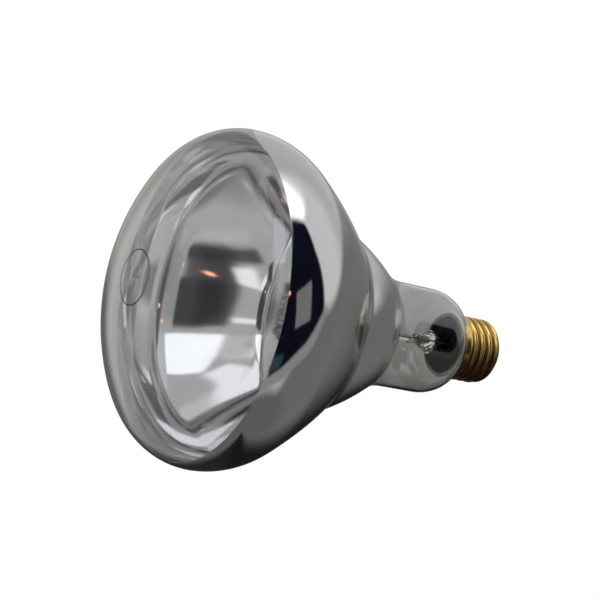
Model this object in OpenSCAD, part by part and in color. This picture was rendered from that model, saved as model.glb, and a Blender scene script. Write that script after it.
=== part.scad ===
// Reflector heat lamp bulb with a medium screw base.
// The glass face rests at z = 0 and the base points up, as the bulb hangs in a food warmer.
// Units are millimetres.

/* [Bulb glass] */
// Largest diameter of the glass
bulb_d = 127; // [120:1:132]
// Radius of curvature of the clear face
face_r = 94; // [88:1:110]
// Radius of the shoulder between the face and the widest circle
front_shoulder_r = 22; // [18:0.5:26]
// Radius of the shoulder behind the widest circle
rear_shoulder_r = 30.4; // [26:0.2:36]
// Slope, from the axis, at which the rear shoulder runs into the parabola
reflector_slope = 33; // [30:0.5:36]
// Axial length from the widest circle to the waist
reflector_length = 43.6; // [40:0.2:47]
// Radius of the belly's arc, behind the waist
belly_r = 94; // [70:1:120]
// Slope of the belly, from the axis, where it leaves the waist
belly_slope = 20.4; // [16:0.2:24]
// Axial length of the belly
belly_length = 21.9; // [20:0.1:24]
// Axial length over which the belly draws in to the neck
neck_draw_length = 14.7; // [12:0.1:18]
// Outer diameter of the neck
neck_d = 41.8; // [38:0.1:46]
// Length of the straight neck
neck_length = 15.5; // [12:0.1:22]
// Axial length of the rounded end of the neck
neck_end_length = 12.3; // [10:0.1:14]
// Glass wall thickness
glass_wall = 0.9; // [0.8:0.05:1.2]
// Half the axial length over which each waist is rounded
waist_round = 2.6; // [1.5:0.1:3.5]
// How sharply the draw-in bends into the straight neck; 2 is a parabola
neck_curve = 2.2; // [1.8:0.1:2.6]

/* [Mirror coating] */
// Angle round the front shoulder, from the axis, at which the mirror starts
mirror_edge_angle = 67; // [58:1:78]
// Thickness that stands for the vapour coating
mirror_wall = 0.15; // [0.1:0.05:0.3]

/* [Seal] */
// Cement between the glass end and the shell's thread
cement_t = 0.85; // [0.7:0.05:1.2]
// Radius of the tuck from the neck end to the glass end
seal_tuck_r = 1.5; // [1.2:0.1:2]
// Length of the glass end after the tuck
seal_length = 5.3; // [4:0.1:7]

/* [Stem] */
// Outer diameter of the stem tube
stem_d = 9; // [8:0.1:10]
// Wall of the stem tube and its flare
stem_wall = 0.9; // [0.7:0.05:1.1]
// Axial length of the flare
flare_length = 6.8; // [6:0.1:9]
// Length of the stem tube between the flare and the pinch
stem_tube_length = 8; // [6:0.1:10]
// Length of the taper from the tube to the press
pinch_length = 3.5; // [2.5:0.1:5]
// Length of the flat press
press_length = 5; // [4:0.1:6]
// Width of the press
press_w = 10; // [9:0.1:12]
// Thickness of the press
press_t = 3.4; // [3:0.1:4]
// Outer diameter of the exhaust tube
exhaust_d = 4; // [3.6:0.1:4.4]
// Bore of the exhaust tube
exhaust_bore = 2.4; // [2:0.1:2.8]
// How far the exhaust tube stands out past the flare
exhaust_length = 4; // [3:0.1:5]
// Diameter of the glass rod that carries the filament supports
arbor_d = 2.6; // [2.2:0.1:3.2]
// Diameter of the button at the end of the rod
button_d = 4.6; // [4:0.1:5.4]
// Distance from the focal plane to the button
button_height = 13; // [11:0.5:16]
// How far the rod runs into the press
arbor_root = 1; // [0.6:0.1:2]

/* [Heat shield] */
// Diameter of the shield disc that sits at the foot of the flare
shield_d = 22; // [18:0.1:22.2]
// Thickness of the shield disc
shield_t = 0.5; // [0.4:0.1:0.8]

/* [Filament and wires] */
// Radius of the filament's arc round the axis
filament_arc_r = 9; // [8:0.1:11]
// Angle that the filament's arc spans
filament_span = 240; // [200:5:260]
// Outer diameter of the filament coil
coil_d = 1.8; // [1.4:0.1:2.2]
// Diameter of the tungsten wire
tungsten_d = 0.25; // [0.2:0.01:0.35]
// Pitch of the coil
coil_pitch = 0.9; // [0.7:0.05:1.2]
// Diameter of the inner lead wires
inner_lead_d = 1; // [0.8:0.1:1.2]
// Diameter of the outer lead wires
outer_lead_d = 0.6; // [0.4:0.1:0.7]
// Radius of the bends where the side lead turns over the glass end
lead_bend = 1; // [0.8:0.1:1.5]
// Distance between the two leads in the press
lead_spacing = 5.6; // [5.2:0.1:6]
// Reach of the bends in the inner leads, below the press and above the coil
lead_reach = 20; // [14:1:24]
// Diameter of the support wires
support_d = 0.5; // [0.4:0.05:0.6]
// Reach of the bend in each support wire, above its loop
support_reach = 8; // [5:0.5:10]
// How far each support wire is sunk in the button
support_root = 1.1; // [0.8:0.1:1.6]
// How far each support wire runs straight out of the button, and then in its first bend
support_stub = 0.25; // [0.1:0.05:0.5]
// Reach of the first bend of each support wire
support_bend = 4.6; // [3:0.1:6]
// Clearance round the coil in a clamp or support loop
coil_gap = 0.06; // [0.04:0.01:0.1]
// Length of the clamp at each end of the coil
clamp_length = 2.2; // [1.8:0.1:3]
// Wall of the clamp
clamp_wall = 0.4; // [0.3:0.05:0.5]

/* [Screw base] */
// Largest diameter over the thread
thread_d = 26.2; // [26:0.05:26.3]
// Depth of the thread from crest to root
thread_depth = 0.8; // [0.6:0.05:0.85]
// Thread pitch, seven turns to the inch
thread_pitch = 3.629; // [3.6:0.001:3.66]
// Turns of thread
thread_turns = 4; // [3:1:5]
// How far the plain collar at the shell's mouth stands out from the thread
collar_step = 0.2; // [0.1:0.05:0.35]
// Length of the plain collar
collar_length = 3.1; // [2:0.1:5]
// Share of a turn over which the thread starts and runs out
thread_fade = 0.4; // [0.2:0.05:0.6]
// Wall of the shell
shell_wall = 0.3; // [0.25:0.05:0.4]
// Gap left between the flat-sided inside of the thread and what sits in it
thread_room = 0.15; // [0.1:0.05:0.25]
// Gap between the glass and the mouth of the shell, filled with cement
mouth_gap = 0.8; // [0.6:0.05:1.2]
// Length of the lip that is rolled over the insulator
lip_length = 1.5; // [1.2:0.1:2]
// How far the lip turns in
lip_turn = 1.6; // [1.2:0.1:2]
// Height of the black glass cone past the lip
insulator_height = 2.2; // [1.8:0.1:3]
// Wall of the insulator
insulator_wall = 1.4; // [1.2:0.1:1.8]
// Length of the insulator's flange inside the end of the thread
insulator_flange = 1.2; // [0.8:0.1:1.6]
// Bevel of the insulator where it leaves the lip
insulator_bevel = 0.3; // [0.2:0.05:0.4]
// Width of insulator that shows round the contact
contact_rim = 0.4; // [0.2:0.1:0.8]
// Diameter of the centre contact
contact_d = 9.6; // [8.6:0.1:10.4]
// Thickness of the centre contact
contact_t = 0.9; // [0.6:0.1:1.2]
// Hole for the lead in the contact and the insulator
contact_hole_d = 1.6; // [1.4:0.1:2.4]
// Diameter of the solder on the centre contact
solder_d = 5.6; // [4.4:0.1:6.4]
// Height of the solder on the centre contact
solder_height = 0.9; // [0.6:0.1:1.2]
// Diameter of the flat land on that solder
land_d = 3.1; // [2:0.1:4]
// Diameter of the solder spot on the collar
side_solder_d = 2.8; // [2.2:0.1:3]
// How far the solder spot stands out from the collar
side_solder_height = 0.16; // [0.1:0.02:0.18]
// Angle round the axis from the solder spot to the -X side
solder_angle = 40; // [0:5:90]
// Angle round the axis from the solder spot to the side lead's place in the stem
lead_turn = 40; // [-60:5:60]

/* [Hidden] */
$fn = 72;

// How far shapes of one solid run into each other, and how far a cutting shape runs past what it cuts
weld = 0.05;
cut = 1;

// Length over which the pinch is still as round as the tube, and as flat as the press
pinch_lap = 0.4;

// Stations along the axis, from the face to the base
bulb_r = bulb_d / 2;
neck_r = neck_d / 2;
thread_r = thread_d / 2;
collar_r = thread_r + collar_step;
collar_bore_r = collar_r - shell_wall;
lip_r = thread_r - thread_depth;
shell_bore_r = lip_r - shell_wall;
lip_bore_r = shell_bore_r - lip_turn;
cement_r = shell_bore_r - thread_room;
seal_r = cement_r - cement_t;
seal_bore_r = seal_r - glass_wall;
widest_z = face_r - sqrt(pow(face_r - front_shoulder_r, 2) - pow(bulb_r - front_shoulder_r, 2));
face_angle = atan2(bulb_r - front_shoulder_r, face_r - widest_z);
waist_z = widest_z + reflector_length;
belly_end_z = waist_z + belly_length;
neck_z = belly_end_z + neck_draw_length;
neck_end_z = neck_z + neck_length;
glass_step_z = neck_end_z + neck_end_length;
seal_end_z = glass_step_z + seal_tuck_r + seal_length;
mouth_z = glass_step_z + mouth_gap;
thread_z = mouth_z + collar_length;
thread_end_z = thread_z + thread_turns * thread_pitch;
lip_end_z = thread_end_z + lip_length;
insulator_end_z = lip_end_z + insulator_height;
contact_end_z = insulator_end_z + contact_t;
lamp_end_z = contact_end_z + solder_height;

// The reflector is a paraboloid that the rear shoulder's arc meets without a kink
join_r = bulb_r - rear_shoulder_r * (1 - cos(reflector_slope));
join_z = widest_z + rear_shoulder_r * sin(reflector_slope);
focal_length = join_r * tan(reflector_slope) / 2;
vertex_z = join_z + join_r * join_r / (4 * focal_length);
focus_z = vertex_z - focal_length;

// Stations of the stem and the wires
stem_r = stem_d / 2;
stem_bore_r = stem_r - stem_wall;
flare_z = seal_end_z - stem_wall - flare_length;
pinch_z = flare_z - stem_tube_length;
press_z = pinch_z - pinch_length;
stem_tip_z = press_z - press_length;
weld_z = press_z - press_length / 2;
shield_z = flare_z - shield_t;
button_z = focus_z + button_height;
exhaust_end_z = seal_end_z + exhaust_length;
exhaust_tip_length = exhaust_d / 2;
lead_x = lead_spacing / 2;
coil_r = (coil_d - tungsten_d) / 2;
loop_bore_r = coil_d / 2 + coil_gap;
clamp_r = loop_bore_r + clamp_wall;
filament_start = 90 - filament_span / 2;
support_angles = [for (k = [-1:1]) 90 + k * filament_span / 4];
support_loop_r = loop_bore_r + support_d / 2;
support_start = [button_d / 2 - support_root, 0, button_z];
support_foot = [button_d / 2 + support_stub, 0, button_z];

// Stations of the base
collar_end_z = thread_z - collar_step;
neck_mouth_r = seal_r + seal_tuck_r;
tuck_z = glass_step_z + seal_tuck_r;
side_lead_r = (seal_r + cement_r) / 2;
side_lead_z = seal_end_z + outer_lead_d;
mouth_mid_z = glass_step_z + mouth_gap / 2;
contact_mid_z = insulator_end_z + contact_t / 2;
contact_end_r = contact_d / 2 - contact_t / 2;
insulator_end_r = contact_d / 2 + contact_rim;
insulator_bore_r = contact_hole_d / 2;
insulator_flange_r = shell_bore_r - thread_room;

function arc(centre, r, from, to, steps) =
    [for (i = [0:steps]) let (a = from + (to - from) * i / steps) centre + r * [cos(a), sin(a)]];

function bezier(p, steps) = [for (i = [0:steps]) let (t = i / steps, s = 1 - t)
    len(p) == 3 ? s * s * p[0] + 2 * s * t * p[1] + t * t * p[2]
    : s * s * s * p[0] + 3 * s * s * t * p[1] + 3 * s * t * t * p[2] + t * t * t * p[3]];

function unit(v) = v / norm(v);

function reversed(list) = [for (i = [len(list) - 1:-1:0]) list[i]];

function all_but_first(list) = [for (i = [1:1:len(list) - 1]) list[i]];

function part_of(list, from, to) = [for (i = [from:to]) list[i]];

// Direction of a path at one of its points, between its neighbours
function heading(path, i) = unit(path[min(i + 1, len(path) - 1)] - path[max(i - 1, 0)]);

// A path of [radius, z] points moved by a distance to its left
function moved_left(path, distance) = [for (i = [0:len(path) - 1])
    let (h = heading(path, i)) path[i] + distance * [-h[1], h[0]]];

function reflector_point(z) = [2 * sqrt(focal_length * (vertex_z - z)), z];

waist_r = reflector_point(waist_z)[0];
belly_centre = [waist_r - belly_r * cos(belly_slope), waist_z - belly_r * sin(belly_slope)];

function belly_point(z) = [belly_centre[0] + sqrt(pow(belly_r, 2) - pow(z - belly_centre[1], 2)), z];

belly_end_r = belly_point(belly_end_z)[0];

function neck_point(z) =
    [neck_r + (belly_end_r - neck_r) * pow((neck_z - z) / neck_draw_length, neck_curve), z];

// Outer line of the glass as [radius, z], from the middle of the face to the end inside the base
face_line = arc([0, face_r], face_r, -90, face_angle - 90, 12);
shoulder_centre = [bulb_r - front_shoulder_r, widest_z];
clear_shoulder = arc(shoulder_centre, front_shoulder_r, face_angle - 90, mirror_edge_angle - 90, 7);
mirror_shoulder = arc(shoulder_centre, front_shoulder_r, mirror_edge_angle - 90, 0, 5);
rear_shoulder = arc([bulb_r - rear_shoulder_r, widest_z], rear_shoulder_r, 0, reflector_slope, 8);
reflector_end_z = waist_z - waist_round;
reflector_line = [for (i = [0:10]) reflector_point(join_z + (reflector_end_z - join_z) * i / 10)];
waist_line = bezier([reflector_point(reflector_end_z), reflector_point(waist_z),
                     belly_point(waist_z + waist_round)], 5);
belly_line = [for (i = [0:8])
    belly_point(waist_z + waist_round + (belly_length - 2 * waist_round) * i / 8)];
neck_waist_line = bezier([belly_point(belly_end_z - waist_round), belly_point(belly_end_z),
                          neck_point(belly_end_z + waist_round)], 5);
neck_draw_line = [for (i = [0:7])
    neck_point(belly_end_z + waist_round + (neck_draw_length - waist_round) * i / 7)];
neck_end_line = [for (i = [0:12]) let (a = 90 * i / 12)
    [neck_mouth_r + (neck_r - neck_mouth_r) * cos(a), neck_end_z + neck_end_length * sin(a)]];
tuck_line = arc([neck_mouth_r, tuck_z], seal_tuck_r, -90, -180, 5);

front_part = concat(face_line, all_but_first(clear_shoulder));
mirror_part = concat(all_but_first(mirror_shoulder), all_but_first(rear_shoulder),
                     all_but_first(reflector_line), all_but_first(waist_line),
                     all_but_first(belly_line), all_but_first(neck_waist_line));
neck_part = concat(all_but_first(neck_draw_line), neck_end_line, all_but_first(tuck_line),
                   [[seal_r, seal_end_z]]);
outer_line = concat(front_part, mirror_part, neck_part);
inner_line = moved_left(outer_line, glass_wall);
glass_inside = concat([[0, glass_wall]], all_but_first(inner_line));
coated_line = part_of(glass_inside, len(front_part) - 1, len(front_part) + len(mirror_part) - 1);

// A round wire swept along a path; side vectors must not lie along the path
module wire(path, d, side = [0, 1, 0], sides = 8) {
    last = len(path) - 1;
    points = [for (i = [0:last])
        let (h = heading(path, i), u = unit(cross(h, is_list(side[0]) ? side[i] : side)), v = cross(u, h))
        for (k = [0:sides - 1]) path[i] + d / 2 * (cos(360 * k / sides) * u + sin(360 * k / sides) * v)];
    walls = [for (i = [0:last - 1], k = [0:sides - 1]) let (n = (k + 1) % sides)
        [i * sides + k, i * sides + n, (i + 1) * sides + n, (i + 1) * sides + k]];
    start_cap = [[for (k = [sides - 1:-1:0]) k]];
    end_cap = [[for (k = [0:sides - 1]) last * sides + k]];
    polyhedron(points, concat(walls, start_cap, end_cap), convexity = 6);
}

module glass_bulb() {
    color([0.86, 0.88, 0.87, 0.35])
        rotate_extrude() polygon(concat(outer_line, reversed(glass_inside)));
}

module mirror_coating() {
    color("silver")
        rotate_extrude() polygon(concat(coated_line, reversed(moved_left(coated_line, mirror_wall))));
}

// Trumpet that closes the glass end, with the tube that leads to the press
module flare_and_tube() {
    flare_r = seal_bore_r - stem_r;
    outer = concat([[stem_r, pinch_z]], [for (i = [0:10]) let (a = 90 * i / 10)
        [seal_bore_r - flare_r * cos(a), flare_z + flare_length * sin(a)]]);
    inner = [for (p = moved_left(outer, stem_wall)) [min(p[0], seal_bore_r), p[1]]];
    rotate_extrude() polygon(concat(outer, reversed(inner)));
}

module press_outline() {
    square([press_w - press_t, press_t], center = true);
    for (side = [-1, 1]) translate([side * (press_w - press_t) / 2, 0]) circle(d = press_t);
}

// Holes for the leads, from the tip of the press to the hollow of the stem
module lead_holes() {
    for (side = [-1, 1]) translate([side * lead_x, 0, 0]) {
        translate([0, 0, stem_tip_z - cut])
            cylinder(d = inner_lead_d, h = weld_z - stem_tip_z + cut);
        translate([0, 0, weld_z])
            cylinder(d = outer_lead_d, h = pinch_z - weld_z + cut);
    }
}

// The stem, the filament and their wires are turned as one
module turned() {
    rotate([0, 0, solder_angle + lead_turn]) children();
}

module glass_stem() {
    tip_r = exhaust_d / 2;
    color([0.82, 0.86, 0.84, 0.4]) turned() difference() {
        union() {
            flare_and_tube();
            hull() {
                translate([0, 0, pinch_z]) cylinder(d = stem_d, h = pinch_lap, $fn = 32);
                translate([0, 0, press_z]) linear_extrude(pinch_lap) press_outline($fn = 32);
            }
            translate([0, 0, stem_tip_z]) linear_extrude(press_length) press_outline();
            translate([0, 0, pinch_z]) cylinder(d = exhaust_d, h = exhaust_end_z - pinch_z);
            translate([0, 0, exhaust_end_z]) cylinder(r1 = tip_r, r2 = tip_r / 4, h = exhaust_tip_length);
            translate([0, 0, button_z]) cylinder(d = arbor_d, h = stem_tip_z - button_z + arbor_root);
            translate([0, 0, button_z]) sphere(d = button_d);
        }
        translate([0, 0, pinch_z]) cylinder(d = exhaust_bore, h = exhaust_end_z - pinch_z);
        lead_holes();
        for (angle = support_angles)
            rotate([0, 0, angle]) wire([support_start, support_foot], support_d);
    }
}

module heat_shield() {
    color([0.16, 0.16, 0.17])
        translate([0, 0, shield_z]) difference() {
            cylinder(d = shield_d, h = shield_t);
            translate([0, 0, -cut]) cylinder(r = stem_r, h = shield_t + 2 * cut);
        }
}

// Middle of the coil's end, at the clamp on the given side
function coil_end(side) = [side * filament_arc_r * cos(filament_start),
                           filament_arc_r * sin(filament_start), focus_z];

module inner_lead(side) {
    end = coil_end(side);
    lead_top = end + [0, 0, loop_bore_r + clamp_wall / 2];
    tip = [side * lead_x, 0, stem_tip_z];
    run = bezier([tip, tip - [0, 0, lead_reach], lead_top + [0, 0, lead_reach], lead_top], 14);
    path = concat([[side * lead_x, 0, weld_z]], run);
    color([0.62, 0.6, 0.56]) turned() {
        wire(path, inner_lead_d);
        translate(end) rotate([0, 0, side * filament_start]) rotate([90, 0, 0]) difference() {
            cylinder(r = clamp_r, h = clamp_length, center = true, $fn = 32);
            cylinder(r = loop_bore_r, h = clamp_length + 2 * cut, center = true, $fn = 32);
        }
    }
}

module filament() {
    steps_a_turn = 6;
    turns = round(filament_arc_r * filament_span * PI / 180 / coil_pitch);
    steps = turns * steps_a_turn;
    angles = [for (i = [0:steps]) filament_start + filament_span * i / steps];
    path = [for (i = [0:steps]) let (a = angles[i], w = 360 * i / steps_a_turn)
        [(filament_arc_r + coil_r * cos(w)) * cos(a), (filament_arc_r + coil_r * cos(w)) * sin(a),
         focus_z + coil_r * sin(w)]];
    color([0.3, 0.3, 0.32])
        turned() wire(path, tungsten_d, [for (a = angles) [-sin(a), cos(a), 0]], 4);
}

// A wire from the button to the coil, drawn in the plane y = 0, with a loop round the coil
module support_wire(angle) {
    top = [filament_arc_r, 0, focus_z + support_loop_r];
    first_bend = support_foot + [support_bend, 0, 0];
    last_bend = top + [0, 0, support_reach];
    path = concat([support_start], bezier([support_foot, first_bend, last_bend, top], 11));
    color([0.5, 0.5, 0.5]) turned() rotate([0, 0, angle]) {
        wire(path, support_d);
        translate([filament_arc_r, 0, focus_z]) rotate([90, 0, 0])
            rotate_extrude($fn = 32) translate([support_loop_r, 0]) circle(d = support_d, $fn = 16);
    }
}

module outer_lead_centre() {
    turn_z = exhaust_end_z + exhaust_tip_length;
    swing = (lip_end_z - turn_z) / 2;
    run = bezier([[lead_x, 0, turn_z], [lead_x, 0, turn_z + swing],
                  [0, 0, lip_end_z - swing], [0, 0, lip_end_z]], 10);
    color([0.72, 0.45, 0.3])
        turned() wire(concat([[lead_x, 0, weld_z]], run, [[0, 0, contact_end_z]]), outer_lead_d);
}

// Points of the side lead, in the stem's plane and in the plane of the solder spot
function in_stem(r, z) = [-r * cos(solder_angle + lead_turn), -r * sin(solder_angle + lead_turn), z];
function at_spot(r, z) = [-r * cos(solder_angle), -r * sin(solder_angle), z];

// The side lead runs over the glass end, down through the cement and out under the shell's mouth
lead_over = unit(at_spot(side_lead_r, 0) - in_stem(lead_x, 0));
side_lead_path = concat(
    [in_stem(lead_x, weld_z)],
    bezier([in_stem(lead_x, side_lead_z - lead_bend), in_stem(lead_x, side_lead_z),
            in_stem(lead_x, side_lead_z) + lead_bend * lead_over], 4),
    bezier([at_spot(side_lead_r, side_lead_z) - lead_bend * lead_over, at_spot(side_lead_r, side_lead_z),
            at_spot(side_lead_r, side_lead_z - lead_bend)], 4),
    [at_spot(side_lead_r, tuck_z + outer_lead_d), at_spot(neck_mouth_r, mouth_mid_z),
     at_spot(collar_r, mouth_mid_z)]);

module side_lead_wire() {
    wire(side_lead_path, outer_lead_d, [-lead_over[1], lead_over[0], 0]);
}

module outer_lead_side() {
    color([0.72, 0.45, 0.3]) side_lead_wire();
}

// Ring of cement between the glass end and the shell, out to the shell's mouth
module base_cement() {
    tuck = arc([neck_mouth_r, tuck_z], seal_tuck_r, -180, -90, 5);
    collar_side = [[collar_bore_r, glass_step_z], [collar_bore_r, collar_end_z]];
    thread_side = [[cement_r, collar_end_z], [cement_r, seal_end_z]];
    color([0.62, 0.6, 0.55]) difference() {
        rotate_extrude() polygon(concat([[seal_r, seal_end_z]], tuck, collar_side, thread_side));
        side_lead_wire();
    }
}

// Radius of the rolled thread; its grooves start at the collar and its crests run out at the lip
function thread_radius(angle, z, crest_r) =
    let (wave = (1 + cos(360 * (z - thread_z) / thread_pitch - angle)) / 2,
         run_out = thread_fade * thread_pitch,
         groove = max(0, min(1, (z - thread_z) / run_out)),
         crest = max(0, min(1, (thread_end_z - z) / run_out)))
    crest_r - thread_depth * ((1 - wave) * groove + wave * (1 - crest));

module thread_core(crest_r, from_z, to_z, sides, steps_a_turn) {
    levels = round((to_z - from_z) / thread_pitch * steps_a_turn);
    points = [for (i = [0:levels], k = [0:sides - 1])
        let (angle = 360 * k / sides, z = from_z + (to_z - from_z) * i / levels,
             r = thread_radius(angle, z, crest_r)) [r * cos(angle), r * sin(angle), z]];
    walls = [for (i = [0:levels - 1], k = [0:sides - 1]) let (n = (k + 1) % sides)
        [i * sides + k, (i + 1) * sides + k, (i + 1) * sides + n, i * sides + n]];
    bottom = [[for (k = [0:sides - 1]) k]];
    top = [[for (k = [sides - 1:-1:0]) levels * sides + k]];
    polyhedron(points, concat(walls, bottom, top), convexity = 8);
}

module screw_shell() {
    collar = [[collar_bore_r, mouth_z], [collar_r, mouth_z], [collar_r, collar_end_z],
              [thread_r, thread_z], [thread_r - shell_wall, thread_z], [collar_bore_r, collar_end_z]];
    lip = [[shell_bore_r, thread_end_z - weld], [lip_r, thread_end_z - weld], [lip_r, thread_end_z],
           [lip_r - lip_turn, lip_end_z], [lip_bore_r, lip_end_z], [shell_bore_r, thread_end_z]];
    color([0.83, 0.62, 0.25]) {
        rotate_extrude() polygon(collar);
        difference() {
            thread_core(thread_r, thread_z - weld, thread_end_z + weld, 36, 8);
            thread_core(thread_r - shell_wall, thread_z - 2 * weld, thread_end_z + 2 * weld, 24, 8);
        }
        rotate_extrude() polygon(lip);
    }
}

// Black glass that the shell's lip is rolled over, with a hollow behind it for the lead
module base_insulator() {
    flange_z = thread_end_z - insulator_flange;
    ceiling_z = insulator_end_z - insulator_wall;
    outside = [[insulator_flange_r, flange_z], [insulator_flange_r, thread_end_z - weld],
               [shell_bore_r, thread_end_z - weld], [shell_bore_r, thread_end_z], [lip_bore_r, lip_end_z],
               [lip_bore_r - insulator_bevel, lip_end_z + insulator_bevel],
               [insulator_end_r, insulator_end_z]];
    hollow = [[insulator_bore_r, insulator_end_z], [insulator_bore_r, ceiling_z],
              [insulator_end_r - insulator_wall, ceiling_z],
              [lip_bore_r - insulator_wall, lip_end_z - insulator_wall / 2],
              [shell_bore_r - insulator_wall, flange_z]];
    color([0.05, 0.05, 0.06]) rotate_extrude() polygon(concat(outside, hollow));
}

// Eyelet with a bevelled edge, and a hole that the lead comes through
module centre_contact() {
    color([0.72, 0.55, 0.28]) rotate_extrude() polygon([
        [insulator_bore_r, insulator_end_z], [contact_d / 2, insulator_end_z], [contact_d / 2, contact_mid_z],
        [contact_end_r, contact_end_z], [insulator_bore_r, contact_end_z]]);
}

module contact_solder() {
    land_r = land_d / 2;
    dome = [for (i = [0:6]) let (a = 90 * i / 6)
        [land_r + (solder_d / 2 - land_r) * cos(a), contact_end_z + solder_height * sin(a)]];
    color([0.7, 0.7, 0.72])
        rotate_extrude() polygon(concat([[0, contact_end_z]], dome, [[0, lamp_end_z]]));
}

// A low spot of solder that lies flat on the collar, over the end of the side lead
module side_solder() {
    spot_r = side_solder_d / 2;
    half_height = side_solder_height / 2;
    color([0.7, 0.7, 0.72])
        translate(at_spot(collar_r, mouth_mid_z + spot_r)) rotate([0, 0, solder_angle]) rotate([0, -90, 0]) {
            cylinder(r = spot_r, h = half_height);
            translate([0, 0, half_height])
                cylinder(r1 = spot_r, r2 = spot_r - side_solder_height, h = half_height);
        }
}

glass_bulb();
mirror_coating();
glass_stem();
heat_shield();
inner_lead(1);  // inner_lead_a
inner_lead(-1);  // inner_lead_b
outer_lead_centre();
outer_lead_side();
filament();
support_wire(support_angles[0]);  // support_wire_1
support_wire(support_angles[1]);  // support_wire_2
support_wire(support_angles[2]);  // support_wire_3
base_cement();
screw_shell();
base_insulator();
centre_contact();
contact_solder();
side_solder();
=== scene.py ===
"""Reflector heat lamp bulb: blown glass, mirror coating, stem, filament and brass screw base."""
import math

import bmesh
import bpy
from mathutils import Matrix, Vector


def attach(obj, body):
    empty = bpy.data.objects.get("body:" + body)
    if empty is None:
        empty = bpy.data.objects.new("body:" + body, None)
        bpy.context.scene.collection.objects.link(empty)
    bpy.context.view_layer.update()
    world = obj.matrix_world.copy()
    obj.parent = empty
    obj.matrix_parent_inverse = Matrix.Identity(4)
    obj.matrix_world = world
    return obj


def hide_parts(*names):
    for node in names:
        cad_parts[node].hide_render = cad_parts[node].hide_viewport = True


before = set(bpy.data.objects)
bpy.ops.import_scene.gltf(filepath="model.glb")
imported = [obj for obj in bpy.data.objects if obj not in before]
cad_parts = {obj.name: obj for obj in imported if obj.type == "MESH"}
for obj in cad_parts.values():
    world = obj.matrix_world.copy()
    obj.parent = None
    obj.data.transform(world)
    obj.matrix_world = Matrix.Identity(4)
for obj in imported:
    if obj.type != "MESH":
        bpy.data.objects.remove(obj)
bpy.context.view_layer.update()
scene = bpy.context.scene

MM = 0.001
TURN = 2 * math.pi


# ---------------------------------------------------------------- sizes, in millimetres, as the solids have them

BULB_R = 63.5
FACE_R = 94.0
FRONT_SHOULDER_R = 22.0
REAR_SHOULDER_R = 30.4
REFLECTOR_SLOPE = math.radians(33)
REFLECTOR_LENGTH = 43.6
BELLY_R = 94.0
BELLY_SLOPE = math.radians(20.4)
BELLY_LENGTH = 21.9
NECK_DRAW_LENGTH = 14.7
NECK_CURVE = 2.2
NECK_R = 20.9
NECK_LENGTH = 15.5
NECK_END_LENGTH = 12.3
GLASS_WALL = 0.9
WAIST_ROUND = 2.6
MIRROR_EDGE = math.radians(67)
SEAL_R = 11.0
SEAL_TUCK_R = 1.5
SEAL_LENGTH = 5.3

WIDEST_Z = FACE_R - math.sqrt((FACE_R - FRONT_SHOULDER_R) ** 2 - (BULB_R - FRONT_SHOULDER_R) ** 2)
FACE_ANGLE = math.atan2(BULB_R - FRONT_SHOULDER_R, FACE_R - WIDEST_Z)
WAIST_Z = WIDEST_Z + REFLECTOR_LENGTH
BELLY_END_Z = WAIST_Z + BELLY_LENGTH
NECK_Z = BELLY_END_Z + NECK_DRAW_LENGTH
NECK_END_Z = NECK_Z + NECK_LENGTH
GLASS_STEP_Z = NECK_END_Z + NECK_END_LENGTH
SEAL_END_Z = GLASS_STEP_Z + SEAL_TUCK_R + SEAL_LENGTH

JOIN_R = BULB_R - REAR_SHOULDER_R * (1 - math.cos(REFLECTOR_SLOPE))
JOIN_Z = WIDEST_Z + REAR_SHOULDER_R * math.sin(REFLECTOR_SLOPE)
FOCAL_LENGTH = JOIN_R * math.tan(REFLECTOR_SLOPE) / 2
VERTEX_Z = JOIN_Z + JOIN_R ** 2 / (4 * FOCAL_LENGTH)
FOCUS_Z = VERTEX_Z - FOCAL_LENGTH

STEM_R = 4.5
STEM_WALL = 0.9
FLARE_LENGTH = 6.8
STEM_TUBE_LENGTH = 8.0
PINCH_LENGTH = 3.5
PRESS_LENGTH = 5.0
PRESS_W = 10.0
PRESS_T = 3.4
EXHAUST_R = 2.0
EXHAUST_BORE_R = 1.2
EXHAUST_LENGTH = 4.0
ARBOR_R = 1.3
BUTTON_R = 2.3
BUTTON_HEIGHT = 13.0
SEAL_BORE_R = SEAL_R - GLASS_WALL
FLARE_Z = SEAL_END_Z - STEM_WALL - FLARE_LENGTH
PINCH_Z = FLARE_Z - STEM_TUBE_LENGTH
PRESS_Z = PINCH_Z - PINCH_LENGTH
STEM_TIP_Z = PRESS_Z - PRESS_LENGTH
WELD_Z = PRESS_Z - PRESS_LENGTH / 2
BUTTON_Z = FOCUS_Z + BUTTON_HEIGHT
EXHAUST_END_Z = SEAL_END_Z + EXHAUST_LENGTH

SHIELD_R = 11.0
SHIELD_T = 0.5

FILAMENT_ARC_R = 9.0
FILAMENT_SPAN = math.radians(240)
COIL_D = 1.8
TUNGSTEN_D = 0.25
COIL_PITCH = 0.9
INNER_LEAD_D = 1.0
LEAD_X = 2.8
LEAD_REACH = 20.0
SUPPORT_D = 0.5
SUPPORT_REACH = 8.0
SUPPORT_ROOT = 1.1
SUPPORT_STUB = 0.25
SUPPORT_BEND = 4.6
COIL_GAP = 0.06
CLAMP_WALL = 0.4
CLAMP_LENGTH = 2.2
STEM_ANGLE = math.radians(40 + 40)

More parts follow.
